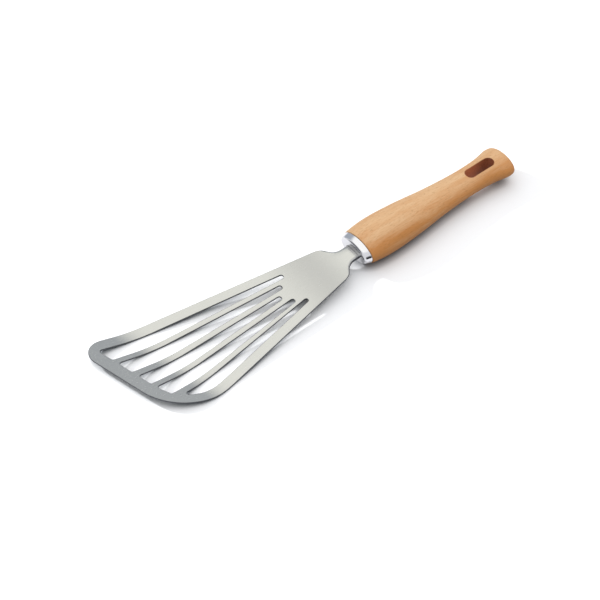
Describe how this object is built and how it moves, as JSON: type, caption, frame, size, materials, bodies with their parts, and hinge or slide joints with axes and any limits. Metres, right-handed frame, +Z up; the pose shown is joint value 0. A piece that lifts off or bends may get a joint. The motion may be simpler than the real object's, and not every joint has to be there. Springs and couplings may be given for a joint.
{
  "type": "flexible turner",
  "caption": "Slotted flexible turner with a fanned, slant-fronted steel blade turned up at its lip, an oval steel cap and a contoured wooden handle with a hang slot.",
  "frame": {"origin": "on the table, under the middle of the turner's box as it lies on its lip bend and its handle's belly", "axes": "+X along the handle to its butt, so the blade points to -X; +Y across the blade to its long side; +Z up"},
  "size_m": [0.3198, 0.0802, 0.0221],
  "materials": {
    "satin_steel": "fine satin rolled stainless sheet",
    "polished_steel": "polished stainless steel",
    "beech": "smooth oiled beech",
    "resin": "cured epoxy resin, hidden"
  },
  "bodies": {
    "root": {"blade": "satin_steel", "ferrule": "polished_steel", "handle": "beech", "tang_adhesive": "resin"}
  },
  "joints": []
}
